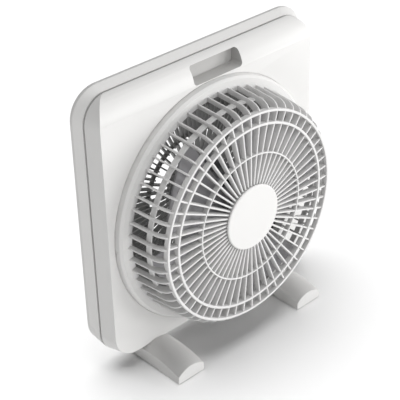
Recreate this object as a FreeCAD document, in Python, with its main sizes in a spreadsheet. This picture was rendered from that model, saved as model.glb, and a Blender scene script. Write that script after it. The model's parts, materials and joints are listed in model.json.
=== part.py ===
import FreeCAD, Part
import math
import os
import Sketcher

# Driving dimensions in millimetres. "Forward" is measured along -Y from the front face of the housing,
# so a forward distance below zero lies inside or behind the housing.
SIZES = {
    # housing
    "axis_height": 190, "housing_half": 180, "housing_bottom": 25, "housing_top": 385,
    "corner_radius": 34, "wall": 3, "side_draft": 6,
    "front_depth": 20.5, "rear_start": 23.5, "rear_flare": 33, "rear_depth": 40,
    "roll_start": 353, "roll_radius": 34.9,
    "rear_half": 187.5, "rear_bottom": 34, "rear_top": 392, "rear_corner": 39,
    "tongue_half": 175.4, "tongue_bottom": 28.5, "tongue_top": 379, "tongue_front": 17,
    "plinth_radius": 164.4, "plinth_rise": 9.5, "opening_radius": 153.5, "rear_opening": 148,
    "recess_left": -29, "recess_right": 51, "recess_bottom": 356, "recess_top": 378.5, "recess_back": 19.5,
    "boss_half": 158, "boss_low": 50, "boss_high": 360, "boss_radius": 5.5, "screw_hole": 2,
    # guard
    "rib_thickness": 2.2, "rib_root": 153, "rib_depth": 9, "rib_shoulder_radius": 149.5,
    "rib_shoulder": 44, "rib_corner_radius": 146.5, "rib_corner": 57, "rib_front": 65,
    "ring_one": 138.7, "ring_two": 122.4, "ring_three": 84, "ring_front": 66.2,
    "band_front": 41, "band_back": 33, "guard_hub": 42, "cap_radius": 43.4, "cap_front": 68, "cap_back": 65.2,
    # rear grille
    "grille_rim": 147.6, "grille_flange": 151.4, "plate_radius": 48, "fin_thickness": 1.9,
    # motor
    "shaft_radius": 4, "bore_radius": 4.05, "motor_radius": 46, "stator_radius": 45.5, "stator_bore": 24.5,
    "rotor_radius": 24, "stack_back": -16, "stack_front": 8, "bell_back": -33.9, "bell_front": 24,
    "bolt_circle": 39.5, "bolt_radius": 1.8, "bolt_hole": 2,
    # impeller
    "hub_radius": 34, "hub_back": 28, "hub_front": 52, "tip_radius": 132, "blade_thickness": 2.4,
    # speed switch and power inlet
    "switch_x": 128, "switch_z": 352, "switch_half": 12, "spindle_radius": 3, "knob_radius": 15,
    "inlet_x": 128, "inlet_z": 66,
    # feet
    "foot_x": 108.5, "foot_half": 21.5, "sole": 0.6, "pad_radius": 13,
}
RIB_COUNT = 56
FIN_COUNT = 42
BLADE_COUNT = 5
BLADE_ROOT = {"chord": 38, "pitch": 35, "middle": 41}
BLADE_TIP = {"chord": 140, "pitch": 15, "middle": 34}
CAMBER = 0.055
EAR_CIRCLE = 156
MOUNT_CIRCLE = 20
PIN_PLACES = ("inlet_x - 4.3", "inlet_x + 4.3")
FOOT_STATIONS = ((-68, 12, 19), (0, 20, 27.5), (40, 17.5, 25), (64.5, 11, 19))
FORWARD = FreeCAD.Rotation(FreeCAD.Vector(1, 0, 0), 90)

doc = FreeCAD.newDocument("box_fan")
sheet = doc.addObject("Spreadsheet::Sheet", "sizes")
for row, (alias, value) in enumerate(SIZES.items(), start=1):
    sheet.set(f"A{row}", alias.replace("_", " "))
    sheet.set(f"B{row}", str(value))
    sheet.setAlias(f"B{row}", alias)
doc.recompute()


def amount(words):
    """Millimetres in a sum such as 'axis_height - wall'."""
    total, sign = 0.0, 1
    for word in str(words).split():
        if word in "+-":
            sign = 1 if word == "+" else -1
        else:
            total += sign * (SIZES[word] if word in SIZES else float(word))
            sign = 1
    return total


def formula(words):
    """The same sum with each name pointing at its cell."""
    return " ".join("sizes." + word if word in SIZES else word for word in str(words).split())


def span(low, high):
    return f"({formula(high)}) - ({formula(low)})"


def place(thing, x="0", y="0", z="0", rotation=FreeCAD.Rotation()):
    """Set a placement whose position follows the sheet."""
    thing.Placement = FreeCAD.Placement(FreeCAD.Vector(amount(x), amount(y), amount(z)), rotation)
    for axis, words in zip("xyz", (x, y, z)):
        thing.setExpression(f"Placement.Base.{axis}", formula(words))


# ------------------------------------------------------------ Part primitives and booleans

def block(name, x, y, z):
    """A box between three pairs of limits."""
    box = doc.addObject("Part::Box", name)
    for prop, limits in zip(("Length", "Width", "Height"), (x, y, z)):
        box.setExpression(prop, span(*limits))
    place(box, x[0], y[0], z[0])
    return box


def disc(name, radius, back, front, x="0", z="axis_height"):
    """A cylinder along Y between two forward distances."""
    rod = doc.addObject("Part::Cylinder", name)
    rod.setExpression("Radius", formula(radius))
    rod.setExpression("Height", span(back, front))
    place(rod, x, "0", z, FORWARD)
    rod.setExpression("Placement.Base.y", f"0 - ({formula(back)})")
    return rod


def post(name, radius, x, y, bottom, top):
    """A vertical cylinder."""
    rod = doc.addObject("Part::Cylinder", name)
    rod.setExpression("Radius", formula(radius))
    rod.setExpression("Height", span(bottom, top))
    place(rod, x, y, bottom)
    return rod


def join(name, pieces):
    fusion = doc.addObject("Part::MultiFuse", name)
    fusion.Shapes = pieces
    return fusion


def cut(name, base, tools):
    """Take one tool or several away from a base."""
    result = doc.addObject("Part::Cut", name)
    result.Base = base
    result.Tool = tools[0] if len(tools) == 1 else join(name + "_tools", tools)
    return result


def tube(name, outer, inner, back, front, x="0", z="axis_height"):
    """A cylinder with a bore along Y."""
    return cut(name, disc(name + "_outer", outer, back, front, x, z),
               [disc(name + "_bore", inner, f"{back} - 1", f"{front} + 1", x, z)])


def group(name, pieces):
    """Several separate solids kept as one node."""
    compound = doc.addObject("Part::Compound", name)
    compound.Links = pieces
    return compound


# ------------------------------------------------------------ PartDesign helpers

def new_body(name, turned=False):
    """A body in the row frame, or one whose Z axis is the fan axis pointing forward."""
    body = doc.addObject("PartDesign::Body", name)
    if turned:
        place(body, "0", "0", "axis_height", FORWARD)
    return body


def origin_feature(body, role):
    return next(item for item in body.Origin.OriginFeatures if item.Role == role)


def new_sketch(body, name, role, offset="0", turn=0):
    """A sketch on one of the body's own planes, moved along its normal or turned about its upright axis."""
    sketch = body.newObject("Sketcher::SketchObject", name)
    sketch.AttachmentSupport = [(origin_feature(body, role), "")]
    sketch.MapMode = "FlatFace"
    sketch.AttachmentOffset = FreeCAD.Placement(FreeCAD.Vector(0, 0, amount(offset)),
                                                FreeCAD.Rotation(FreeCAD.Vector(0, 1, 0), turn))
    sketch.setExpression("AttachmentOffset.Base.z", formula(offset))
    return sketch


def pin_point(sketch, edge, end, x, y):
    """Hold one end of an edge at a sheet-driven position."""
    for kind, words in (("DistanceX", x), ("DistanceY", y)):
        number = sketch.addConstraint(Sketcher.Constraint(kind, -1, 1, edge, end, amount(words)))
        sketch.setExpression(f"Constraints[{number}]", formula(words))


def draw_polygon(sketch, points):
    """A closed outline through points given as pairs of sums."""
    places = [FreeCAD.Vector(amount(x), amount(y), 0) for x, y in points]
    first = sketch.GeometryCount
    count = len(points)
    for index in range(count):
        sketch.addGeometry(Part.LineSegment(places[index], places[(index + 1) % count]), False)
    for index in range(count):
        sketch.addConstraint(
            Sketcher.Constraint("Coincident", first + index, 2, first + (index + 1) % count, 1))
    for index, (x, y) in enumerate(points):
        pin_point(sketch, first + index, 1, x, y)


def draw_rounded(sketch, left, right, bottom, top, radius):
    """A rectangle with four equal corner arcs and sides held by the sheet."""
    reach = amount(radius)
    ends = []
    for x, y, angle in ((right, top, 0), (left, top, 90), (left, bottom, 180), (right, bottom, 270)):
        centre_x = amount(x) - reach * (1 if angle in (0, 270) else -1)
        centre_y = amount(y) - reach * (1 if angle in (0, 90) else -1)
        circle = Part.Circle(FreeCAD.Vector(centre_x, centre_y, 0), FreeCAD.Vector(0, 0, 1), reach)
        arc = Part.ArcOfCircle(circle, math.radians(angle), math.radians(angle + 90))
        ends.append((sketch.addGeometry(arc, False), arc))
    for index, (edge, arc) in enumerate(ends):
        next_edge, next_arc = ends[(index + 1) % 4]
        line = sketch.addGeometry(Part.LineSegment(arc.EndPoint, next_arc.StartPoint), False)
        sketch.addConstraint(Sketcher.Constraint("Tangent", edge, 2, line, 1))
        sketch.addConstraint(Sketcher.Constraint("Tangent", line, 2, next_edge, 1))
        sketch.addConstraint(Sketcher.Constraint("Vertical" if index % 2 else "Horizontal", line))
        if index:
            sketch.addConstraint(Sketcher.Constraint("Equal", ends[0][0], edge))
    number = sketch.addConstraint(Sketcher.Constraint("Radius", ends[0][0], reach))
    sketch.setExpression(f"Constraints[{number}]", formula(radius))
    for edge, kind, end, words in ((ends[0][0], "DistanceX", 1, right), (ends[0][0], "DistanceY", 2, top),
                                   (ends[2][0], "DistanceX", 1, left), (ends[2][0], "DistanceY", 2, bottom)):
        number = sketch.addConstraint(Sketcher.Constraint(kind, -1, 1, edge, end, amount(words)))
        sketch.setExpression(f"Constraints[{number}]", formula(words))


def pad(body, sketch, low, high, midplane=False):
    feature = body.newObject("PartDesign::Pad", sketch.Name + "_pad")
    feature.Profile = (sketch, [""])
    feature.setExpression("Length", span(low, high))
    feature.Midplane = midplane
    return feature


def revolve(body, sketch):
    """Turn an X-Z profile all the way round the body's Z axis."""
    feature = body.newObject("PartDesign::Revolution", sketch.Name + "_turned")
    feature.Profile = (sketch, [""])
    feature.ReferenceAxis = (sketch, ["V_Axis"])
    feature.Angle = 360
    return feature


def loft(body, sketches, ruled=True):
    feature = body.newObject("PartDesign::AdditiveLoft", sketches[0].Name + "_loft")
    feature.Profile = (sketches[0], [""])
    feature.Sections = [(sketch, [""]) for sketch in sketches[1:]]
    feature.Ruled = ruled
    return feature


def circle_places(count, radius, start):
    """Places round the fan axis as pairs of sums."""
    places = []
    for number in range(count):
        angle = math.radians(start + 360 * number / count)
        places.append((f"{radius * math.cos(angle):.3f}", f"axis_height + {radius * math.sin(angle):.3f}"))
    return places


def repeat(body, feature, count):
    """Repeat a feature round the body's Z axis."""
    pattern = body.newObject("PartDesign::PolarPattern", feature.Name + "_ring")
    pattern.Originals = [feature]
    pattern.Axis = (origin_feature(body, "Z_Axis"), [""])
    pattern.Angle = 360
    pattern.Occurrences = count
    body.Tip = pattern
    return pattern


def turned_body(name, points):
    """A solid of revolution about the fan axis from (radius, forward) points."""
    body = new_body(name, turned=True)
    sketch = new_sketch(body, name + "_profile", "XZ_Plane")
    draw_polygon(sketch, points)
    revolve(body, sketch)
    return body


def rounded_block(name, x, z, radius, back, front):
    """A block with rounded corners seen from the front, between two forward distances."""
    body = new_body(name)
    sketch = new_sketch(body, name + "_outline", "XZ_Plane", back)
    draw_rounded(sketch, x[0], x[1], z[0], z[1], radius)
    pad(body, sketch, back, front)
    return body


def housing_loft(name, back_outline, front_outline):
    """A ruled blank between two outlines, each (left, right, bottom, top, corner, forward)."""
    body = new_body(name)
    sketches = []
    for number, (left, right, bottom, top, corner, forward) in enumerate((back_outline, front_outline)):
        sketch = new_sketch(body, f"{name}_outline_{number}", "XZ_Plane", forward)
        draw_rounded(sketch, left, right, bottom, top, corner)
        sketches.append(sketch)
    loft(body, sketches)
    return body


# ------------------------------------------------------------ housing

def roll_back(body, name, inset=0):
    """Cut the top front edge of a body back along the large arc that meets the seam."""
    sketch = new_sketch(body, name + "_roll", "YZ_Plane")
    radius = SIZES["roll_radius"] - inset
    height = SIZES["roll_start"]
    beyond = SIZES["front_depth"] + 1
    rise = math.sqrt(radius ** 2 - (SIZES["roll_radius"] - beyond) ** 2)
    start = FreeCAD.Vector(inset, height, 0)
    middle = FreeCAD.Vector(SIZES["roll_radius"] - radius * math.cos(math.radians(33)),
                            height + radius * math.sin(math.radians(33)), 0)
    end = FreeCAD.Vector(beyond, height + rise, 0)
    above = FreeCAD.Vector(end.x, SIZES["housing_top"] + 10, 0)
    outside = FreeCAD.Vector(-10, above.y, 0)
    below = FreeCAD.Vector(-10, start.y, 0)
    sketch.addGeometry(Part.Arc(start, middle, end), False)
    for first, second in ((end, above), (above, outside), (outside, below), (below, start)):
        sketch.addGeometry(Part.LineSegment(first, second), False)
    pocket = body.newObject("PartDesign::Pocket", name + "_roll_cut")
    pocket.Profile = (sketch, [""])
    pocket.Type = 1
    pocket.Midplane = True
    return body


def shell_blank(name, inset):
    """Outside of the front shell drawn in by an inset, narrower at the face, with its top rolled back."""
    bottom, top = f"housing_bottom + {inset}", f"housing_top - {inset}"
    corner = f"corner_radius - {inset}"
    return roll_back(housing_loft(
        name,
        (f"0 - housing_half + {inset}", f"housing_half - {inset}", bottom, top, corner, "0 - front_depth"),
        (f"0 - housing_half + side_draft + {inset}", f"housing_half - side_draft - {inset}",
         bottom, top, corner, f"0 - {inset}")), name, inset)


def screw_places():
    """The four screw columns of the housing as (x, z) sums."""
    return [(side, level) for side in ("0 - boss_half", "boss_half") for level in ("boss_low", "boss_high")]


def front_shell():
    """Moulded front half with the raised ring round its opening and the closed finger recess."""
    skin = cut("front_skin", shell_blank("front_blank", 0), [
        shell_blank("front_hollow", SIZES["wall"]),
        disc("front_opening", "plinth_radius - 1.5", "0 - 10", "1")])
    plinth = turned_body("plinth", (
        ("opening_radius", "0 - 8"), ("opening_radius + wall", "0 - 8"),
        ("opening_radius + wall", "plinth_rise - wall"), ("plinth_radius - wall", "plinth_rise - wall"),
        ("plinth_radius - wall", "0 - wall"), ("plinth_radius", "0 - wall"), ("plinth_radius", "0"),
        ("plinth_radius - 0.5", "plinth_rise - 1.2"), ("plinth_radius - 1.6", "plinth_rise"),
        ("opening_radius", "plinth_rise")))
    recess_room = roll_back(rounded_block(
        "recess_room", ("recess_left - wall", "recess_right + wall"),
        ("recess_bottom - wall", "recess_top + wall"), "7.5", "0 - recess_back - 2.5", "0"), "recess_room")
    columns = []
    pilots = []
    for number, (x, z) in enumerate(screw_places()):
        end = "0 - 3.4" if z == "boss_high" else "0 - 1"
        columns.append(disc(f"front_boss_{number}", "boss_radius", "0 - front_depth", end, x, z))
        pilots.append(disc(f"front_pilot_{number}", "screw_hole", "0 - front_depth - 1", "0 - 8", x, z))
    for side, x in (("left", "0 - foot_x"), ("right", "foot_x")):
        columns.append(post(f"foot_boss_{side}", "boss_radius", x, "10", "housing_bottom + 1", "40"))
        pilots.append(post(f"foot_pilot_{side}", "screw_hole", x, "10", "housing_bottom - 1", "38"))
    recess = rounded_block("finger_recess", ("recess_left", "recess_right"), ("recess_bottom", "recess_top"),
                           "4.5", "0 - recess_back", "5")
    return cut("front_shell", join("front_solid", [skin, plinth, recess_room] + columns), [recess] + pilots)


def rear_shell():
    """Rear half that flares out from the seam, with the tongue that enters the front half."""
    flare = housing_loft("rear_flare_blank",
                         ("0 - rear_half", "rear_half", "rear_bottom", "rear_top", "rear_corner",
                          "0 - rear_flare"),
                         ("0 - housing_half - 0.5", "housing_half + 0.5", "housing_bottom", "housing_top",
                          "corner_radius", "0 - rear_start"))
    back = rounded_block("rear_back", ("0 - rear_half", "rear_half"), ("rear_bottom", "rear_top"),
                         "rear_corner", "0 - rear_depth", "0 - rear_flare")
    rounded = doc.addObject("Part::Fillet", "rear_rounded")
    rounded.Base = join("rear_outside", [flare, back])
    doc.recompute()
    rounded.Edges = [(number, 4.5, 4.5) for number, edge in enumerate(rounded.Base.Shape.Edges, start=1)
                     if edge.BoundBox.YMin > SIZES["rear_depth"] - 0.01]
    inner = ("0 - tongue_half + 2.5", "tongue_half - 2.5")
    inner_corner = "30"
    wide = ("0 - rear_half + wall", "rear_half - wall")
    wide_heights = ("rear_bottom + wall", "rear_top - wall")
    hollows = [
        rounded_block("seam_hollow", inner, ("tongue_bottom + 2.5", "tongue_top - 2.5"), inner_corner,
                      "0 - rear_start - 2.5", "0"),
        housing_loft("flare_hollow", wide + wide_heights + ("rear_corner - wall", "0 - rear_flare"),
                     inner + ("tongue_bottom + 2.5", "tongue_top - 2.5", inner_corner,
                              "0 - rear_start - 2.5")),
        rounded_block("back_hollow", wide, wide_heights, "rear_corner - wall", "0 - rear_depth + wall",
                      "0 - rear_flare")]
    tongue = cut("tongue", rounded_block("tongue_outer", ("0 - tongue_half", "tongue_half"),
                                         ("tongue_bottom", "tongue_top"), "30", "0 - rear_start - 1",
                                         "0 - tongue_front"), [
        rounded_block("tongue_inner", inner, ("tongue_bottom + 2.5", "tongue_top - 2.5"), inner_corner,
                      "0 - rear_start - 2", "0"),
        block("tongue_gap", ("recess_left - wall - 1", "recess_right + wall + 1"),
              ("tongue_front - 1", "rear_start"), ("tongue_top - 9", "tongue_top + 1"))])
    columns = []
    holes = [disc("rear_air_opening", "rear_opening", "0 - 60", "0"),
             disc("switch_hole", "4.8", "0 - rear_depth - 1", "0 - rear_depth + 5", "switch_x", "switch_z"),
             block("inlet_hole", ("inlet_x - 10.2", "inlet_x + 10.2"), ("rear_depth - 5", "rear_depth + 1"),
                   ("inlet_z - 6.2", "inlet_z + 6.2"))]
    for number, (x, z) in enumerate(screw_places()):
        columns.append(disc(f"rear_boss_{number}", "boss_radius", "0 - rear_depth + 1",
                            "0 - front_depth - 0.1", x, z))
        holes.append(disc(f"rear_hole_{number}", "screw_hole", "0 - rear_depth - 1", "0", x, z))
        holes.append(disc(f"rear_sink_{number}", "4.2", "0 - rear_depth - 1", "0 - rear_depth + 8", x, z))
    for number, (x, z) in enumerate(circle_places(4, EAR_CIRCLE, 45)):
        holes.append(disc(f"ear_pilot_{number}", "1.4", "0 - rear_depth + 0.6", "0 - rear_depth + 5", x, z))
    solid = join("rear_solid", [cut("rear_hollowed", rounded, hollows), tongue] + columns)
    return cut("rear_shell", solid, holes)


def housing_screws():
    """Four long screws from the back that pull the two halves together."""
    screws = []
    for number, (x, z) in enumerate(screw_places()):
        shank = disc(f"shank_{number}", "screw_hole - 0.1", "0 - rear_depth + 8", "0 - 10", x, z)
        head = disc(f"head_{number}", "3.9", "0 - rear_depth + 5", "0 - rear_depth + 8", x, z)
        slot = block(f"slot_{number}", (f"{x} - 2.8", f"{x} + 2.8"), ("rear_depth - 6", "rear_depth - 4"),
                     (f"{z} - 0.5", f"{z} + 0.5"))
        screws.append(cut(f"housing_screw_{number}", join(f"screw_blank_{number}", [shank, head]), [slot]))
    return group("housing_screws", screws)


# ------------------------------------------------------------ guard and grille

def front_guard():
    """Cage of radial ribs, rounded over the front corner and tied by rings."""
    guard = new_body("front_guard", turned=True)
    hub = new_sketch(guard, "guard_middle", "XZ_Plane")
    draw_polygon(hub, (("0", "59"), ("guard_hub", "59"), ("guard_hub", "cap_back"), ("0", "cap_back")))
    revolve(guard, hub)
    rib = new_sketch(guard, "guard_rib", "XZ_Plane")
    draw_polygon(rib, (
        ("rib_root", "0"), ("rib_shoulder_radius", "rib_shoulder"), ("rib_corner_radius", "rib_corner"),
        ("ring_one + 1", "rib_front"), ("guard_hub - 2", "rib_front"),
        ("guard_hub - 2", "rib_front - rib_depth"), ("ring_one - 6", "rib_front - rib_depth"),
        ("rib_shoulder_radius - 7", "rib_shoulder - 6"), ("rib_root - 7", "0")))
    repeat(guard, pad(guard, rib, "0", "rib_thickness", midplane=True), RIB_COUNT)
    rings = new_sketch(guard, "guard_rings", "XZ_Plane")
    draw_polygon(rings, (("opening_radius - 8", "0 - 2"), ("opening_radius - 0.3", "0 - 2"),
                         ("opening_radius - 0.3", "3"), ("opening_radius - 8", "3")))
    draw_polygon(rings, (("142.4", "band_back"), ("144.8", "band_back"), ("144.8", "band_front"),
                         ("142.4", "band_front")))
    draw_polygon(rings, (("ring_three - 1.2", "58"), ("ring_three + 1.2", "58"),
                         ("ring_three + 1.2", "rib_front + 0.4"), ("ring_three - 1.2", "rib_front + 0.4")))
    for ring in ("ring_one", "ring_two"):
        draw_polygon(rings, ((f"{ring} - 2", "60"), (f"{ring} + 2", "60"),
                             (f"{ring} + 2", "ring_front"), (f"{ring} - 2", "ring_front")))
    revolve(guard, rings)
    return guard


def guard_center_cap():
    return turned_body("guard_center_cap", (
        ("0", "cap_back"), ("cap_radius - 0.4", "cap_back"), ("cap_radius", "cap_back + 0.5"),
        ("cap_radius", "cap_front - 0.9"), ("cap_radius - 1.2", "cap_front"), ("0", "cap_front")))


def rear_grille():
    """Rear grille that carries the motor plate and the wiring channel."""
    grille = new_body("grille_web", turned=True)
    plate = new_sketch(grille, "grille_plate", "XZ_Plane")
    draw_polygon(plate, (("0", "0 - rear_depth"), ("plate_radius", "0 - rear_depth"),
                         ("plate_radius", "0 - rear_depth + 6"), ("0", "0 - rear_depth + 6")))
    revolve(grille, plate)
    fin = new_sketch(grille, "grille_fin", "XZ_Plane")
    draw_polygon(fin, (("plate_radius - 2", "0 - rear_depth + 0.6"),
                       ("grille_rim - 3", "0 - rear_depth + 0.6"),
                       ("grille_rim - 3", "0 - rear_depth + 5"), ("grille_rim - 8", "0 - rear_depth + 8"),
                       ("plate_radius + 12", "0 - rear_depth + 8"),
                       ("plate_radius + 2", "0 - rear_depth + 5"),
                       ("plate_radius - 2", "0 - rear_depth + 5")))
    repeat(grille, pad(grille, fin, "0", "fin_thickness", midplane=True), FIN_COUNT)
    rings = new_sketch(grille, "grille_rings", "XZ_Plane")
    draw_polygon(rings, (("grille_rim - 5", "0 - rear_depth"), ("grille_rim", "0 - rear_depth"),
                         ("grille_rim", "0 - rear_depth + 3.1"), ("grille_flange", "0 - rear_depth + 3.1"),
                         ("grille_flange", "0 - rear_depth + 5.5"),
                         ("grille_rim - 5", "0 - rear_depth + 5.5")))
    for radius in ("plate_radius + 33", "plate_radius + 66"):
        draw_polygon(rings, ((f"{radius} - 1.2", "0 - rear_depth + 0.2"),
                             (f"{radius} + 1.2", "0 - rear_depth + 0.2"),
                             (f"{radius} + 1.2", "0 - rear_depth + 5.8"),
                             (f"{radius} - 1.2", "0 - rear_depth + 5.8")))
    revolve(grille, rings)
    short_fin = new_sketch(grille, "short_fin", "XZ_Plane", turn=180 / FIN_COUNT)
    draw_polygon(short_fin, (("plate_radius + 32", "0 - rear_depth + 0.6"),
                             ("grille_rim - 3", "0 - rear_depth + 0.6"),
                             ("grille_rim - 3", "0 - rear_depth + 5"),
                             ("grille_rim - 8", "0 - rear_depth + 8"),
                             ("plate_radius + 32", "0 - rear_depth + 8")))
    repeat(grille, pad(grille, short_fin, "0", "fin_thickness", midplane=True), FIN_COUNT)
    channel = block("channel", ("plate_radius - 1", "grille_rim - 1"), ("rear_depth - 8", "rear_depth"),
                    ("axis_height - 5", "axis_height + 5"))
    ears = [disc(f"ear_{number}", "6", "0 - rear_depth + 3.1", "0 - rear_depth + 5.5", x, z)
            for number, (x, z) in enumerate(circle_places(4, EAR_CIRCLE - 1, 45))]
    trough = block("trough", ("40", "grille_flange + 1"), ("rear_depth - 9", "rear_depth - 3"),
                   ("axis_height - 2.6", "axis_height + 2.6"))
    holes = [disc(f"plate_hole_{number}", "bolt_hole", "0 - rear_depth - 1", "0 - rear_depth + 7", x, z)
             for number, (x, z) in enumerate(circle_places(3, MOUNT_CIRCLE, 90))]
    holes += [disc(f"ear_hole_{number}", "1.4", "0 - rear_depth + 2", "0 - rear_depth + 7", x, z)
              for number, (x, z) in enumerate(circle_places(4, EAR_CIRCLE, 45))]
    return cut("rear_grille", join("grille_solid", [grille, channel] + ears), [trough] + holes)


def grille_screws():
    """Four short screws that hold the grille ears to the rear wall from inside."""
    screws = []
    for number, (x, z) in enumerate(circle_places(4, EAR_CIRCLE, 45)):
        head = disc(f"ear_screw_head_{number}", "2.6", "0 - rear_depth + 5.5", "0 - rear_depth + 7.3", x, z)
        shank = disc(f"ear_screw_shank_{number}", "1.3", "0 - rear_depth + 1", "0 - rear_depth + 5.5", x, z)
        screws.append(join(f"ear_screw_{number}", [head, shank]))
    return group("grille_screws", screws)


# ------------------------------------------------------------ motor

def motor_bolt_places():
    return circle_places(4, SIZES["bolt_circle"], 45)


def motor_rear_bell():
    cup = turned_body("rear_bell_cup", (
        ("4.6", "bell_back"), ("motor_radius", "bell_back"), ("motor_radius", "stack_back - 0.05"),
        ("motor_radius - 2.4", "stack_back - 0.05"), ("motor_radius - 2.4", "bell_back + 2.7"),
        ("13", "bell_back + 2.7"), ("13", "0 - 20"), ("9.05", "0 - 20"), ("9.05", "0 - 32"),
        ("4.6", "0 - 32")))
    holes = [disc(f"rear_bell_hole_{number}", "bolt_hole", "bell_back + 0.8", "0 - 25", x, z)
             for number, (x, z) in enumerate(motor_bolt_places())]
    holes += [disc(f"rear_bell_mount_{number}", "bolt_hole", "bell_back - 1", "0 - 25", x, z)
              for number, (x, z) in enumerate(circle_places(3, MOUNT_CIRCLE, 90))]
    return cut("motor_rear_bell", cup, holes)


def motor_front_bell():
    cup = turned_body("front_bell_cup", (
        ("motor_radius - 2.4", "stack_front + 0.05"), ("motor_radius", "stack_front + 0.05"),
        ("motor_radius", "bell_front - 2"), ("motor_radius - 2", "bell_front"), ("13", "bell_front"),
        ("13", "26"), ("9.05", "26"), ("9.05", "14"), ("13", "14"), ("13", "bell_front - 2.7"),
        ("motor_radius - 2.4", "bell_front - 2.7")))
    return cut("motor_front_bell", cup, [
        disc(f"front_bell_hole_{number}", "bolt_hole", "15", "bell_front + 1", x, z)
        for number, (x, z) in enumerate(motor_bolt_places())])


def bearings():
    return [tube("rear_bearing", "9", "bore_radius", "0 - 31.9", "0 - 20"),
            tube("front_bearing", "9", "bore_radius", "14.1", "26")]


def stator_core():
    ring = tube("stator_ring", "stator_radius", "stator_bore", "stack_back", "stack_front")
    return cut("stator_core", ring, [
        disc(f"stator_hole_{number}", "bolt_hole", "stack_back - 1", "stack_front + 1", x, z)
        for number, (x, z) in enumerate(motor_bolt_places())])


def stator_windings():
    """Two end turns, one on each face of the core."""
    turns = []
    for name, start, shoulder, end in (("front_turn", "stack_front + 0.05", "12.4", "13.9"),
                                       ("rear_turn", "stack_back - 0.05", "0 - 20.5", "0 - 22")):
        turns.append(turned_body(name, (("26", start), ("37", start), ("37", shoulder), ("35.5", end),
                                        ("27.5", end), ("26", shoulder))))
    return group("stator_windings", turns)


def rotor_parts():
    shaft = disc("motor_shaft", "shaft_radius", "0 - 33", "58")
    return [shaft, tube("rotor_core", "rotor_radius", "bore_radius", "stack_back + 1", "stack_front - 1")]


def motor_bolts():
    bolts = []
    for number, (x, z) in enumerate(motor_bolt_places()):
        head = disc(f"bolt_head_{number}", "3.4", "bell_front", "bell_front + 2.4", x, z)
        shank = disc(f"bolt_shank_{number}", "bolt_radius", "bell_back + 0.9", "bell_front", x, z)
        bolts.append(join(f"motor_bolt_{number}", [head, shank]))
    return group("motor_bolts", bolts)


def mount_screws():
    """Three screws from behind the grille plate into the rear bell."""
    screws = []
    for number, (x, z) in enumerate(circle_places(3, MOUNT_CIRCLE, 90)):
        head = disc(f"mount_head_{number}", "4", "0 - rear_depth - 2", "0 - rear_depth", x, z)
        shank = disc(f"mount_shank_{number}", "bolt_radius", "0 - rear_depth", "bell_back + 2.7", x, z)
        slot = block(f"mount_slot_{number}", (f"{x} - 3", f"{x} + 3"), ("rear_depth + 1", "rear_depth + 3"),
                     (f"{z} - 0.5", f"{z} + 0.5"))
        screws.append(cut(f"mount_screw_{number}", join(f"mount_blank_{number}", [head, shank]), [slot]))
    return group("mount_screws", screws)


# ------------------------------------------------------------ impeller

def blade_section(body, name, offset, section):
    """A thin cambered section across the blade at one distance from the axis."""
    sketch = new_sketch(body, name, "YZ_Plane", offset)
    turn = math.radians(section["pitch"])
    along = FreeCAD.Vector(math.cos(turn), math.sin(turn), 0) * (section["chord"] / 2)
    across = FreeCAD.Vector(-math.sin(turn), math.cos(turn), 0)
    middle = FreeCAD.Vector(0, section["middle"], 0)
    skin = across * (SIZES["blade_thickness"] / 2)
    lift = across * (CAMBER * section["chord"])
    sketch.addGeometry([
        Part.Arc(middle - along + skin, middle + lift + skin, middle + along + skin),
        Part.LineSegment(middle + along + skin, middle + along - skin),
        Part.Arc(middle + along - skin, middle + lift - skin, middle - along - skin),
        Part.LineSegment(middle - along - skin, middle - along + skin)], False)
    return sketch


def impeller():
    """Hollow hub with broad twisted blades trimmed to one circle."""
    fan = new_body("impeller_blank", turned=True)
    hub = new_sketch(fan, "hub_profile", "XZ_Plane")
    draw_polygon(hub, (
        ("bore_radius", "hub_back + 2"), ("10", "hub_back + 2"), ("10", "hub_front - 4"),
        ("hub_radius - 3", "hub_front - 4"), ("hub_radius - 3", "hub_back"), ("hub_radius", "hub_back"),
        ("hub_radius", "hub_front - 3"), ("hub_radius - 1", "hub_front - 1"), ("hub_radius - 3", "hub_front"),
        ("bore_radius", "hub_front")))
    revolve(fan, hub)
    blade = loft(fan, [blade_section(fan, "blade_root", "hub_radius - 6", BLADE_ROOT),
                       blade_section(fan, "blade_tip", "tip_radius + 8", BLADE_TIP)])
    repeat(fan, blade, BLADE_COUNT)
    return cut("impeller", fan, [tube("tip_trim", "tip_radius + 40", "tip_radius", "0", "70")])


def hub_nut():
    return turned_body("hub_nut", (
        ("bore_radius", "hub_front"), ("9", "hub_front"), ("9", "hub_front + 1"), ("6", "hub_front + 1.6"),
        ("6", "hub_front + 4"), ("5", "hub_front + 5"), ("bore_radius", "hub_front + 5")))


# ------------------------------------------------------------ controls and wiring

def speed_switch():
    body = block("switch_case", ("switch_x - switch_half", "switch_x + switch_half"),
                 ("20", "rear_depth - 3.1"),
                 ("switch_z - switch_half", "switch_z + switch_half"))
    bushing = disc("switch_bushing", "4.5", "0 - 44", "0 - rear_depth + 4", "switch_x", "switch_z")
    bore = disc("switch_bore", "spindle_radius + 0.05", "0 - 45", "0 - 27.5", "switch_x", "switch_z")
    return cut("speed_switch", join("switch_solid", [body, bushing]), [bore])


def switch_nut():
    return tube("switch_nut", "8", "4.55", "0 - rear_depth - 2.4", "0 - rear_depth", "switch_x", "switch_z")


def switch_spindle():
    return disc("switch_spindle", "spindle_radius", "0 - 54", "0 - 28", "switch_x", "switch_z")


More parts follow.
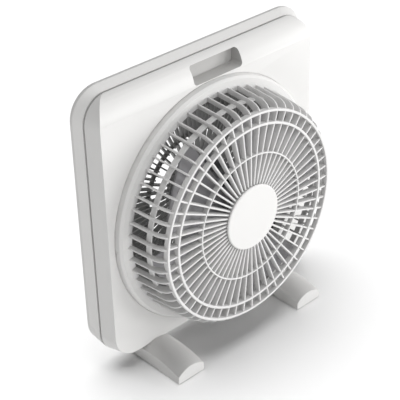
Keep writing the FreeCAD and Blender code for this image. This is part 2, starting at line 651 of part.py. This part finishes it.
def speed_knob():
    """Round knob with a pointer ridge and a recess over the bushing."""
    turned = turned_body("knob_turned", (
        ("9", "0 - 43.5"), ("knob_radius", "0 - 43.5"), ("knob_radius - 0.8", "0 - 55.5"),
        ("knob_radius - 2.3", "0 - 57"), ("0", "0 - 57"), ("0", "0 - 54.1"), ("spindle_radius", "0 - 54.1"),
        ("spindle_radius", "0 - 46"), ("9", "0 - 46")))
    place(turned, "switch_x", "0", "switch_z", FORWARD)
    pointer = block("knob_pointer", ("switch_x - 1", "switch_x + 1"), ("56", "58"),
                    ("switch_z", "switch_z + knob_radius - 3"))
    return join("speed_knob", [turned, pointer])


def power_inlet():
    """Two-pin inlet whose flange sits on the rear face."""
    flange = rounded_block("inlet_flange", ("inlet_x - 15", "inlet_x + 15"), ("inlet_z - 10", "inlet_z + 10"),
                           "3", "0 - rear_depth - 2.4", "0 - rear_depth")
    case = block("inlet_case", ("inlet_x - 10", "inlet_x + 10"), ("26", "rear_depth + 1"),
                 ("inlet_z - 6", "inlet_z + 6"))
    mouth = rounded_block("inlet_mouth", ("inlet_x - 8.2", "inlet_x + 8.2"),
                          ("inlet_z - 4.1", "inlet_z + 4.1"),
                          "4", "0 - rear_depth - 3", "0 - 31")
    bores = [disc(f"pin_bore_{number}", "1.2", "0 - 32", "0 - 25", x, "inlet_z")
             for number, x in enumerate(PIN_PLACES)]
    return cut("power_inlet", join("inlet_solid", [flange, case]), [mouth] + bores)


def inlet_pins():
    return group("inlet_pins", [disc(f"inlet_pin_{number}", "1.2", "0 - 40", "0 - 23", x, "inlet_z")
                                for number, x in enumerate(PIN_PLACES)])


def wire(name, radius, depth, points, bend):
    """A round wire in a plane parallel to the back, following rounded corners from its first point."""
    body = new_body(name)
    start_x, start_z = points[0]
    profile = new_sketch(body, name + "_section", "YZ_Plane", str(start_x))
    profile.addGeometry(Part.Circle(FreeCAD.Vector(depth, start_z, 0), FreeCAD.Vector(0, 0, 1), radius),
                        False)
    path = new_sketch(body, name + "_path", "XZ_Plane", f"0 - {depth}")
    places = [FreeCAD.Vector(x, z, 0) for x, z in points]
    last = places[0]
    for before, corner, after in zip(places, places[1:], places[2:]):
        into = (before - corner).normalize()
        out = (after - corner).normalize()
        half = into.getAngle(out) / 2
        reach = bend / math.tan(half)
        centre = corner + (into + out).normalize() * (bend / math.sin(half))
        middle = centre + (corner - centre).normalize() * bend
        path.addGeometry(Part.LineSegment(last, corner + into * reach), False)
        path.addGeometry(Part.Arc(corner + into * reach, middle, corner + out * reach), False)
        last = corner + out * reach
    path.addGeometry(Part.LineSegment(last, places[-1]), False)
    pipe = body.newObject("PartDesign::AdditivePipe", name + "_pipe")
    pipe.Profile = (profile, [""])
    pipe.Spine = (path, [])
    return body


def lead_wires():
    """Supply lead from inlet to switch, and motor lead down the side and along the channel."""
    return group("lead_wires", [
        wire("supply_lead", 2, 30, ((138, 66), (163, 66), (163, 345), (140, 345)), 8),
        wire("motor_lead", 2.1, 34.7, ((46.5, 190), (157, 190), (157, 297), (134, 320), (134, 340)), 8)])


# ------------------------------------------------------------ feet

def foot_blank(name, x):
    """A long low foot with an arched top, drawn through four cross-sections."""
    body = new_body(name)
    sketches = []
    half, sole = SIZES["foot_half"], SIZES["sole"]
    for number, (forward, side, crown) in enumerate(FOOT_STATIONS):
        sketch = new_sketch(body, f"{name}_section_{number}", "XZ_Plane", str(forward))
        corners = [FreeCAD.Vector(px, pz, 0) for px,
                   pz in ((-half, sole), (half, sole), (half, side), (-half, side))]
        sketch.addGeometry([
            Part.LineSegment(corners[0], corners[1]), Part.LineSegment(corners[1], corners[2]),
            Part.Arc(corners[2], FreeCAD.Vector(0, crown, 0), corners[3]),
            Part.LineSegment(corners[3], corners[0])], False)
        sketches.append(sketch)
    loft(body, sketches, ruled=False)
    place(body, x)
    return body


def foot(name, x):
    """One foot, stepped to lie under the housing and hollowed for its screw and pads."""
    sides = (f"{x} - foot_half - 1", f"{x} + foot_half + 1")
    return cut(name, foot_blank(name + "_blank", x), [
        block(name + "_step", sides, ("0 - 0.3", "rear_depth + 0.3"),
              ("housing_bottom", "housing_bottom + 10")),
        block(name + "_arch", sides, ("0 - 26", "30"), ("0", "sole + 2")),
        post(name + "_hole", "2.2", x, "10", "0", "30"),
        post(name + "_sink", "4.6", x, "10", "0", "14"),
        post(name + "_front_pocket", "pad_radius", x, "0 - 45", "0", "1.8"),
        post(name + "_rear_pocket", "pad_radius", x, "50", "0", "1.8")])


def foot_pads():
    return group("foot_pads", [
        post(f"foot_pad_{side}_{end}", "pad_radius", x, y, "0", "1.8")
        for side, x in (("left", "0 - foot_x"), ("right", "foot_x")) for end,
        y in (("front", "0 - 45"), ("rear", "50"))])


def foot_screws():
    screws = []
    for side, x in (("left", "0 - foot_x"), ("right", "foot_x")):
        head = post(f"foot_screw_head_{side}", "4.2", x, "10", "11.4", "14")
        shank = post(f"foot_screw_shank_{side}", "screw_hole - 0.1", x, "10", "14", "37")
        screws.append(join(f"foot_screw_{side}", [head, shank]))
    return group("foot_screws", screws)


# ------------------------------------------------------------ build, check and export

parts = [front_shell(), rear_shell(), housing_screws(), front_guard(), guard_center_cap(), rear_grille(),
         grille_screws(), motor_rear_bell(), motor_front_bell(), stator_core(), stator_windings(),
         motor_bolts(), mount_screws(), impeller(), hub_nut(), speed_switch(), switch_nut(), switch_spindle(),
         speed_knob(), power_inlet(), inlet_pins(), lead_wires(), foot("left_foot", "0 - foot_x"),
         foot("right_foot", "foot_x"), foot_pads(), foot_screws()] + bearings() + rotor_parts()
doc.recompute()

for item in doc.Objects:
    if "Invalid" in item.State or "Error" in item.State:
        raise RuntimeError(f"{item.Name} did not compute: {item.State}")
os.makedirs("parts", exist_ok=True)
for part in parts:
    if part.Shape.isNull() or not part.Shape.isValid() or part.Shape.Volume <= 0:
        raise RuntimeError(f"{part.Label} has no valid solid")
    box = part.Shape.BoundBox
    print(f"{part.Label}: {part.Shape.Volume / 1000:.2f} cm3, {len(part.Shape.Solids)} solids, "
          f"x {box.XMin:.1f} to {box.XMax:.1f}, y {box.YMin:.1f} to {box.YMax:.1f}, z {box.ZMin:.1f} to {box.ZMax:.1f}")
    part.Shape.exportStep(f"parts/{part.Label}.step")
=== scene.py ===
import json
import math

import bmesh
import bpy
from mathutils import Matrix, Vector

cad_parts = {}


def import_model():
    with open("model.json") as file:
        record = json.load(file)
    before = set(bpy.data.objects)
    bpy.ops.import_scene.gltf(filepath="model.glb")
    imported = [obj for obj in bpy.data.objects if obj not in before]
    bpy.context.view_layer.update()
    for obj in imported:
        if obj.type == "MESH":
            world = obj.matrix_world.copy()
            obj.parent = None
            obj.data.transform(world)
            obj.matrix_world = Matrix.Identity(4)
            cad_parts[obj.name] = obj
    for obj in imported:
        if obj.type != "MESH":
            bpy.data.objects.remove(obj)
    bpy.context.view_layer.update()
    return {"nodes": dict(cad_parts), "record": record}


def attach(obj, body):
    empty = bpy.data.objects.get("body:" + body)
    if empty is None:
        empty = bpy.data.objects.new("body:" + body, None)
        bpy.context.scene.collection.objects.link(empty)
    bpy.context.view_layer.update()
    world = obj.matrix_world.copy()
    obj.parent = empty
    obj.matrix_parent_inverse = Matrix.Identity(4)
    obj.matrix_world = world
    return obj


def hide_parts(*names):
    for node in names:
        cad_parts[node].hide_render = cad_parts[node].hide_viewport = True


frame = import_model()
nodes = frame["nodes"]
MM = 0.001


# ---------------------------------------------------------------- materials

def new_material(name, color, roughness, metallic=0.0, specular=0.5):
    """A principled material, returned with its node tree, its shader and object coordinates."""
    mat = bpy.data.materials.new(name)
    mat.use_nodes = True
    tree = mat.node_tree
    shader = tree.nodes["Principled BSDF"]
    shader.inputs["Base Color"].default_value = (*color, 1)
    shader.inputs["Roughness"].default_value = roughness
    shader.inputs["Metallic"].default_value = metallic
    shader.inputs["Specular IOR Level"].default_value = specular
    coords = tree.nodes.new("ShaderNodeTexCoord")
    return mat, tree, shader, coords.outputs["Object"]


def noise(tree, coords, scale, detail):
    """A noise value between 0 and 1 over the surface."""
    node = tree.nodes.new("ShaderNodeTexNoise")
    node.inputs["Scale"].default_value = scale
    node.inputs["Detail"].default_value = detail
    tree.links.new(coords, node.inputs["Vector"])
    return node.outputs["Fac"]


def ramp(tree, value, low, high):
    """A value between 0 and 1 turned into one between low and high."""
    node = tree.nodes.new("ShaderNodeMapRange")
    node.inputs["To Min"].default_value = low
    node.inputs["To Max"].default_value = high
    tree.links.new(value, node.inputs["Value"])
    return node.outputs["Result"]


def tinted(tree, value, first, second):
    """A colour between two, chosen by a value between 0 and 1."""
    node = tree.nodes.new("ShaderNodeMix")
    node.data_type = "RGBA"
    node.inputs["A"].default_value = (*first, 1)
    node.inputs["B"].default_value = (*second, 1)
    tree.links.new(value, node.inputs["Factor"])
    return node.outputs["Result"]


def bump(tree, shader, height, depth):
    """Fine relief of a depth in metres."""
    node = tree.nodes.new("ShaderNodeBump")
    node.inputs["Distance"].default_value = depth
    node.inputs["Strength"].default_value = 1.0
    tree.links.new(height, node.inputs["Height"])
    tree.links.new(node.outputs["Normal"], shader.inputs["Normal"])


def plastic(name, color, roughness, grain=2600, depth=0.02 * MM):
    """Moulded plastic: slight unevenness of tone and gloss, and a fine spark-eroded grain."""
    mat, tree, shader, coords = new_material(name, color, roughness)
    darker = tuple(c * 0.965 for c in color)
    tree.links.new(tinted(tree, noise(tree, coords, 14, 4), darker, color), shader.inputs["Base Color"])
    tree.links.new(ramp(tree, noise(tree, coords, 60, 5), roughness - 0.06, roughness + 0.06),
                   shader.inputs["Roughness"])
    bump(tree, shader, noise(tree, coords, grain, 2), depth)
    return mat


def metal(name, color, roughness, grain=900, stretch=(1, 1, 1)):
    """Metal with drawn or rolled streaks of tone and gloss."""
    mat, tree, shader, coords = new_material(name, color, roughness, metallic=1.0)
    mapping = tree.nodes.new("ShaderNodeMapping")
    mapping.inputs["Scale"].default_value = stretch
    tree.links.new(coords, mapping.inputs["Vector"])
    streaks = noise(tree, mapping.outputs["Vector"], grain, 3)
    darker = tuple(c * 0.8 for c in color)
    tree.links.new(tinted(tree, streaks, darker, color), shader.inputs["Base Color"])
    tree.links.new(ramp(tree, streaks, roughness - 0.08, roughness + 0.1), shader.inputs["Roughness"])
    bump(tree, shader, streaks, 0.01 * MM)
    return mat


# One material for each slot of the record, and one for the inside of the finger recess: a coarser grain, and
# a darker colour that is painted shade for the shade falling in the recess.
MATERIALS = {
    "white_plastic": plastic("white_plastic", (0.715, 0.71, 0.70), 0.52),
    # Darker than the white plastic: painted shade inside the finger recess, with a coarser grain.
    "recess_painted_shade": plastic("recess_painted_shade", (0.50, 0.495, 0.485), 0.6, grain=1500, depth=0.05 * MM),
    "guard_plastic": plastic("guard_plastic", (0.69, 0.685, 0.68), 0.5, grain=2000),
    "impeller_plastic": plastic("impeller_plastic", (0.27, 0.265, 0.275), 0.42),
    "black_plastic": plastic("black_plastic", (0.018, 0.018, 0.02), 0.45, depth=0.04 * MM),
    "zinc_steel": metal("zinc_steel", (0.62, 0.62, 0.60), 0.32),
    "shaft_steel": metal("shaft_steel", (0.66, 0.66, 0.67), 0.22, grain=700, stretch=(1, 8, 1)),
    "bell_metal": metal("bell_metal", (0.30, 0.31, 0.33), 0.45, grain=300),
    "lamination_steel": metal("lamination_steel", (0.20, 0.20, 0.21), 0.5, grain=1400,
                              stretch=(0.05, 1, 0.05)),
    "winding_copper": metal("winding_copper", (0.55, 0.22, 0.08), 0.35),
    "bronze": metal("bronze", (0.52, 0.34, 0.14), 0.5, grain=1200),
    "wire_sheath": plastic("wire_sheath", (0.03, 0.03, 0.032), 0.5),
    "pad_rubber": plastic("pad_rubber", (0.02, 0.02, 0.02), 0.75, grain=1500, depth=0.06 * MM),
}

slots = {entry["node"]: entry["material_slot"] for entry in frame["record"]["subparts"]}
for name, obj in nodes.items():
    obj.data.materials.clear()
    obj.data.materials.append(MATERIALS[slots[name]])
# The rear grille has its slot's plastic in a darker grey.
nodes["rear_grille"].data.materials[0] = plastic("grille_plastic", (0.30, 0.298, 0.295), 0.5)


# ---------------------------------------------------------------- detailed pieces

AXIS_HEIGHT = 190 * MM
# All other lengths are in mm, radii from the fan's axis, and forward is the way the fan blows.
RING_STEPS = 168

RIB_COUNT = 56
RIB_THICKNESS = 2.2
RIB_FOOT = 9.5
# The rounded edges of a rib: depth into the rib, and share of the full thickness there.
RIB_OUTER_EDGE = ((0, 0.6), (0.3, 0.9), (0.9, 1.0))
RIB_INNER_EDGE = ((1, 1.0), (0.5, 0.85), (0, 0.35))
# The outer and inner edge of a rib, from its foot to the centre plate, as (radius, forward) points.
RIB_OUTER = [(152.4, RIB_FOOT - 0.5), (152.1, 13), (150.9, 28), (149.5, 44), (148.7, 51), (147.2, 56.2),
             (144.4, 60.8), (140.4, 63.8), (135, 64.9), (122.4, 65.2), (84, 65.0), (41, 64.8)]
RIB_INNER = [(145.4, RIB_FOOT - 0.5), (145.1, 12), (143.9, 26), (142.5, 39), (141.3, 45), (139.2, 49.6),
             (136.2, 53), (132.6, 55), (128.5, 56), (118, 56.2), (82, 56.1), (41, 56)]
OPENING_RADIUS = 153.45
FOOT_RING = [(145.6, -2), (OPENING_RADIUS - 0.2, -2), (OPENING_RADIUS, RIB_FOOT), (145.6, RIB_FOOT - 0.4)]
INNER_RING = [(142.2, 33), (145, 33), (144.8, 41), (142.4, 41)]
# The rings across the front: middle radius, width, and where they begin and end going forward.
FRONT_RINGS = ((138.7, 3.2, 58.5, 66.2), (122.4, 3.2, 58.5, 66.2), (84, 2, 58, 65.6))
CENTER_RING = [(4, 59), (42, 59), (42, 65.2), (4, 65.2)]

# The corners of the plinth's edge as (radius, forward), in the CAD shape and softened.
PLINTH_EDGE = (((163.9, 8.3), (163.7, 6.6)), ((162.8, 9.5), (160.6, 9.5)))
# The finger recess: its low and high corner as (x, z), and the range of y that its back wall is in.
RECESS = ((-29.5, 355.5), (51.5, 379))
RECESS_BACK = (19, 19.8)


def finished(mesh, name, node, body="fan", shade_angle=35):
    """Puts a mesh in the scene in place of a CAD node, on the same body and with the same slot."""
    piece = bpy.data.objects.new(name, mesh)
    bpy.context.scene.collection.objects.link(piece)
    mesh.materials.clear()
    mesh.materials.append(MATERIALS[slots[node]])
    mesh.shade_smooth()
    mesh.set_sharp_from_angle(angle=math.radians(shade_angle))
    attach(piece, body)
    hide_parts(node)
    return piece


def cleaned(node):
    """A node's mesh with its triangles joined back into flat faces."""
    bm = bmesh.new()
    bm.from_mesh(nodes[node].data)
    bmesh.ops.remove_doubles(bm, verts=bm.verts, dist=0.01 * MM)
    bmesh.ops.dissolve_limit(bm, angle_limit=math.radians(0.6), verts=bm.verts, edges=bm.edges)
    return bm


def new_mesh(bm, name):
    """The edited mesh as mesh data."""
    mesh = bpy.data.meshes.new(name)
    bm.to_mesh(mesh)
    bm.free()
    return mesh


def round_edges(piece, width, angle):
    """Rounds the edges that turn by more than the angle in degrees."""
    rounding = piece.modifiers.new("rounding", "BEVEL")
    rounding.width = width * MM
    rounding.segments = 3
    rounding.limit_method = "ANGLE"
    rounding.angle_limit = math.radians(angle)


def softened(node, width, body="fan"):
    """A copy of a node with its moulded edges rounded."""
    piece = finished(new_mesh(cleaned(node), node + "_mesh"), "soft_" + node, node, body)
    round_edges(piece, width, 35)


def join_rows(bm, rows):
    """Faces between each closed row of vertices and the next."""
    count = len(rows[0])
    for row, after in zip(rows, rows[1:]):
        for k in range(count):
            following = (k + 1) % count
            bm.faces.new((row[k], row[following], after[following], after[k]))


def lathe(bm, outline, steps=RING_STEPS):
    """A closed outline of (radius, forward) points turned about the fan's axis."""
    rows = []
    for step in range(steps):
        angle = 2 * math.pi * step / steps
        across, up = math.cos(angle), math.sin(angle)
        rows.append([bm.verts.new((radius * MM * across, -forward * MM, AXIS_HEIGHT + radius * MM * up))
                     for radius, forward in outline])
    join_rows(bm, rows + rows[:1])


def rounded_outline(corners, radius, steps=3):
    """The outline with each corner turned by a small curve."""
    points = []
    for k, corner in enumerate(corners):
        corner = Vector(corner)
        before = Vector(corners[k - 1]) - corner
        after = Vector(corners[(k + 1) % len(corners)]) - corner
        reach = min(radius, before.length * 0.45, after.length * 0.45)
        start = corner + before.normalized() * reach
        end = corner + after.normalized() * reach
        for step in range(steps + 1):
            part = step / steps
            points.append(tuple(start * (1 - part) ** 2 + corner * 2 * part * (1 - part) + end * part ** 2))
    return points


def add_rib(bm, angle):
    """One rib of the cage at an angle about the axis, with both long edges rounded."""
    half = RIB_THICKNESS / 2
    along = Vector((math.cos(angle), 0, math.sin(angle)))
    across = Vector((-math.sin(angle), 0, math.cos(angle)))
    rows = []
    for outer, inner in zip(RIB_OUTER, RIB_INNER):
        outer = Vector(outer)
        inner = Vector(inner)
        inward = (inner - outer).normalized()
        spots = [(outer + inward * depth, share) for depth, share in RIB_OUTER_EDGE]
        spots += [(inner - inward * depth, share) for depth, share in RIB_INNER_EDGE]
        row = []
        for side in (1, -1):
            for spot, share in spots[::side]:
                place = along * spot.x * MM + across * side * share * half * MM
                row.append(bm.verts.new((place.x, -spot.y * MM, place.z + AXIS_HEIGHT)))
        rows.append(row)
    join_rows(bm, rows)
    bm.faces.new(rows[0][::-1])
    bm.faces.new(rows[-1])


def detailed_guard():
    """The cage: rounded ribs standing on a ring that is flush with the plinth, tied by moulded rings."""
    bm = bmesh.new()
    for k in range(RIB_COUNT):
        add_rib(bm, 2 * math.pi * k / RIB_COUNT)
    lathe(bm, rounded_outline(FOOT_RING, 0.5))
    lathe(bm, rounded_outline(INNER_RING, 0.7))
    for radius, width, back, front in FRONT_RINGS:
        low, high = radius - width / 2, radius + width / 2
        lathe(bm, rounded_outline([(low + 0.3, back), (high - 0.3, back), (high, front), (low, front)], 0.6))
    lathe(bm, rounded_outline(CENTER_RING, 0.4), 96)
    bmesh.ops.recalc_face_normals(bm, faces=bm.faces)
    finished(new_mesh(bm, "guard_mesh"), "cage", "front_guard", shade_angle=50)


def with_groove(mesh, radius, width, depth):
    """The mesh with a round groove cut into the face, outside the given radius."""
    bm = bmesh.new()
    lathe(bm, [(radius, -depth), (radius + width, -depth), (radius + width, depth), (radius, depth)])
    bmesh.ops.recalc_face_normals(bm, faces=bm.faces)
    cutter = bpy.data.objects.new("groove_cutter", new_mesh(bm, "groove_cutter"))
    target = bpy.data.objects.new("groove_target", mesh)
    for obj in (cutter, target):
        bpy.context.scene.collection.objects.link(obj)
    cutting = target.modifiers.new("groove", "BOOLEAN")
    cutting.operation = "DIFFERENCE"
    cutting.solver = "EXACT"
    cutting.object = cutter
    depsgraph = bpy.context.evaluated_depsgraph_get()
    result = bpy.data.meshes.new_from_object(target.evaluated_get(depsgraph))
    for obj in (cutter, target):
        bpy.data.objects.remove(obj)
    return result


def soften_plinth(bm):
    """Moves the corners of the plinth's edge so that it slopes off sooner."""
    for vert in bm.verts:
        radius = math.hypot(vert.co.x, vert.co.z - AXIS_HEIGHT) / MM
        forward = -vert.co.y / MM
        for (old_radius, old_forward), (new_radius, new_forward) in PLINTH_EDGE:
            if abs(radius - old_radius) < 0.2 and abs(forward - old_forward) < 0.1:
                vert.co.x *= new_radius / radius
                vert.co.z = AXIS_HEIGHT + (vert.co.z - AXIS_HEIGHT) * new_radius / radius
                vert.co.y = -new_forward * MM


def in_recess(spots):
    """Whether a face with its corners at these places lies in the finger recess and reaches its back."""
    (low_x, low_z), (high_x, high_z) = RECESS
    nearest, farthest = RECESS_BACK
    inside = all(low_x < spot.x < high_x and low_z < spot.z < high_z and spot.y < farthest for spot in spots)
    return inside and max(spot.y for spot in spots) > nearest


def detailed_front_shell():
    """The front half, its plinth softened at the edge and parted from the face by a fine groove."""
    bm = cleaned("front_shell")
    soften_plinth(bm)
    mesh = with_groove(new_mesh(bm, "front_shell_mesh"), radius=164.3, width=1.1, depth=1.2)
    piece = finished(mesh, "soft_front_shell", "front_shell")
    # The faces inside the finger recess get the darker plastic: painted shade where the recess lies in shade.
    mesh.materials.append(MATERIALS["recess_painted_shade"])
    for face in mesh.polygons:
        if in_recess([mesh.vertices[index].co / MM for index in face.vertices]):
            face.material_index = 1
    round_edges(piece, 0.9, 20)


detailed_guard()
detailed_front_shell()
for node, width in (("rear_shell", 0.8), ("left_foot", 0.9), ("right_foot", 0.9), ("guard_center_cap", 0.6),
                    ("power_inlet", 0.4)):
    softened(node, width)
softened("speed_knob", 0.6, "knob")


# ---------------------------------------------------------------- stage, light and camera

def floor():
    """A matt, nearly white floor."""
    bpy.ops.mesh.primitive_plane_add(size=14, location=(0, 0, 0))
    plane = bpy.context.object
    plane.name = "floor"
    mat, tree, shader, coords = new_material("floor_paint", (0.9, 0.9, 0.9), 0.8, specular=0.2)
    tree.links.new(tinted(tree, noise(tree, coords, 3, 2), (0.89, 0.89, 0.89), (0.91, 0.91, 0.91)),
                   shader.inputs["Base Color"])
    plane.data.materials.append(mat)
    return plane


def link_light(light, objects, state):
    """Lights only the objects given, or everything but them."""
    receivers = bpy.data.collections.new(light.name + "_receivers")
    for obj in objects:
        receivers.objects.link(obj)
    for entry in receivers.collection_objects:
        entry.light_linking.link_state = state
    light.light_linking.receiver_collection = receivers


def new_light(name, kind, position, target, power):
    """A light at a position in metres, turned towards its target."""
    data = bpy.data.lights.new(name, kind)
    data.energy = power
    light = bpy.data.objects.new(name, data)
    bpy.context.scene.collection.objects.link(light)
    light.location = position
    light.rotation_euler = (Vector(target) - Vector(position)).to_track_quat("-Z", "Y").to_euler()
    return light


def softbox(name, position, size, power, flagged):
    """A round softbox aimed at the fan, with the floor and other flagged pieces kept out of its light."""
    light = new_light(name, "AREA", position, (0, 0, 0.2), power)
    light.data.shape = "DISK"
    light.data.size = size
    link_light(light, flagged, "EXCLUDE")


def floor_wash(position, spread, power, plane):
    """An even light on the floor alone, in which the fan throws its soft shadow. The spread is in degrees."""
    light = new_light("floor_wash", "SUN", position, (0, 0, 0), power)
    light.data.angle = math.radians(spread)
    link_light(light, [plane], "INCLUDE")


def world(strength):
    """Even light of a strength from all round, while the backdrop itself looks white."""
    scene_world = bpy.data.worlds.new("studio")
    scene_world.use_nodes = True
    tree = scene_world.node_tree
    background = tree.nodes["Background"]
    background.inputs["Color"].default_value = (1, 1, 1, 1)
    backdrop = tree.nodes.new("ShaderNodeLightPath")
    level = tree.nodes.new("ShaderNodeMapRange")
    level.inputs["To Min"].default_value = strength
    level.inputs["To Max"].default_value = 1.0
    tree.links.new(backdrop.outputs["Is Camera Ray"], level.inputs["Value"])
    tree.links.new(level.outputs["Result"], background.inputs["Strength"])
    bpy.context.scene.world = scene_world


def camera():
    """Front left and a little above, framed slightly off the lens axis."""
    azimuth, elevation, roll = math.radians(-43.401), math.radians(30.534), math.radians(-1.292)
    data = bpy.data.cameras.new("camera")
    data.sensor_width = 36
    data.lens = 111.76
    data.shift_x = -0.0376
    data.shift_y = -0.0646
    data.clip_end = 50
    cam = bpy.data.objects.new("camera", data)
    bpy.context.scene.collection.objects.link(cam)
    back = Vector((math.sin(azimuth) * math.cos(elevation), -math.cos(azimuth) * math.cos(elevation),
                   math.sin(elevation)))
    cam.location = (-0.9176, -0.9710, 1.0117)
    turn = back.to_track_quat("Z", "Y").to_matrix() @ Matrix.Rotation(roll, 3, "Z")
    cam.rotation_euler = turn.to_euler()
    bpy.context.scene.camera = cam


stage_floor = floor()
feet = [bpy.data.objects["soft_left_foot"], bpy.data.objects["soft_right_foot"]]
world(0.24)
floor_wash((-0.1, 0.32, 2.6), spread=58, power=3.1, plane=stage_floor)
softbox("overhead", (0, 0, 2.8), size=2.4, power=12, flagged=[stage_floor])
softbox("high_front", (0, -1.4, 2.4), size=1.6, power=16, flagged=[stage_floor] + feet)
softbox("low_front", (0, -2.8, 0.3), size=0.8, power=13, flagged=[stage_floor])
softbox("low_right", (1.6, -2.4, 0.4), size=0.8, power=22, flagged=[stage_floor])
softbox("right", (2.4, -1.6, 0.5), size=0.8, power=28, flagged=[stage_floor])
softbox("high_right", (2.0, -0.2, 2.2), size=1.2, power=5, flagged=[stage_floor])
camera()
bpy.context.scene.view_settings.view_transform = "Standard"
